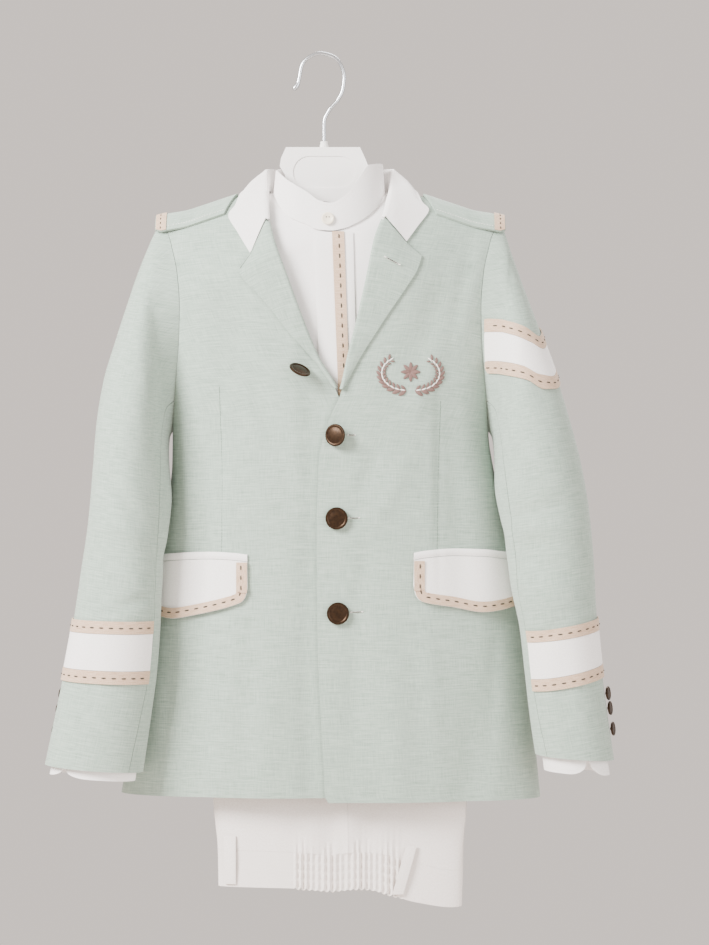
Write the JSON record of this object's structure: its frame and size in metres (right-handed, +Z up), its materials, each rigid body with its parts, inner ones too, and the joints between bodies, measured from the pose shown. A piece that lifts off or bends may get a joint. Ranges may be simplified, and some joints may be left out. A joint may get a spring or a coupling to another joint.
{
  "type": "first communion suit on a hanger",
  "caption": "Child's first communion suit: linen jacket with white collar and trims, white shirt and folded white trousers, hung on a plastic hanger with a wire hook.",
  "frame": {"origin": "inside top of the hook, where the hanger hangs", "axes": "+Z up, +X to the viewer's right, -Y towards the viewer"},
  "size_m": [0.5148, 0.1205, 0.7818],
  "materials": {
    "linen": "woven linen, matt",
    "white_cotton": "plain white cotton, matt",
    "shirt": "fine white cotton, matt",
    "ribbon": "beige ribbed ribbon with a running stitch",
    "trouser": "white twill, matt",
    "bronze_button": "dark antiqued metal",
    "shirt_button": "cream, slightly glossy",
    "hanger_plastic": "white moulded plastic",
    "hook_wire": "bright wire"
  },
  "bodies": {
    "root": {"belt_loop_viewer_left": "trouser", "belt_loop_viewer_right": "trouser", "chevron_lower_ribbon": "ribbon", "chevron_upper_ribbon": "ribbon", "chevron_white": "white_cotton", "cuff_band_lower_ribbon_viewer_left": "ribbon", "cuff_band_lower_ribbon_viewer_right": "ribbon", "cuff_band_upper_ribbon_viewer_left": "ribbon", "cuff_band_upper_ribbon_viewer_right": "ribbon", "cuff_band_white_viewer_left": "white_cotton", "cuff_band_white_viewer_right": "white_cotton", "front_button_1": "bronze_button", "front_button_2": "bronze_button", "front_button_3": "bronze_button", "front_button_under_lapel": "bronze_button", "hanger_frame": "hanger_plastic", "hanger_hook": "hook_wire", "jacket_back": "linen", "jacket_collar": "white_cotton", "jacket_front_viewer_left": "linen", "jacket_front_viewer_right": "linen", "jacket_under_sleeve_viewer_left": "linen", "jacket_under_sleeve_viewer_right": "linen", "jacket_upper_sleeve_viewer_left": "linen", "jacket_upper_sleeve_viewer_right": "linen", "lapel_viewer_left": "linen", "lapel_viewer_right": "linen", "pocket_flap_viewer_left": "white_cotton", "pocket_flap_viewer_right": "white_cotton", "pocket_ribbon_viewer_left": "ribbon", "pocket_ribbon_viewer_right": "ribbon", "pocket_welt_viewer_left": "white_cotton", "pocket_welt_viewer_right": "white_cotton", "shirt_back": "shirt", "shirt_collar": "shirt", "shirt_collar_button": "shirt_button", "shirt_cuff_viewer_left": "shirt", "shirt_cuff_viewer_right": "shirt", "shirt_front_viewer_left": "shirt", "shirt_front_viewer_right": "shirt", "shirt_placket": "shirt", "shirt_placket_ribbon": "ribbon", "shirt_sleeve_viewer_left": "shirt", "shirt_sleeve_viewer_right": "shirt", "shoulder_board_ribbon_viewer_left": "ribbon", "shoulder_board_ribbon_viewer_right": "ribbon", "shoulder_board_viewer_left": "linen", "shoulder_board_viewer_right": "linen", "sleeve_button_1_viewer_left": "bronze_button", "sleeve_button_1_viewer_right": "bronze_button", "sleeve_button_2_viewer_left": "bronze_button", "sleeve_button_2_viewer_right": "bronze_button", "sleeve_button_3_viewer_left": "bronze_button", "sleeve_button_3_viewer_right": "bronze_button", "trousers_back_viewer_left": "trouser", "trousers_back_viewer_right": "trouser", "trousers_front": "trouser", "trousers_leg_viewer_left": "trouser", "trousers_leg_viewer_right": "trouser", "trousers_waistband": "trouser"}
  },
  "joints": []
}
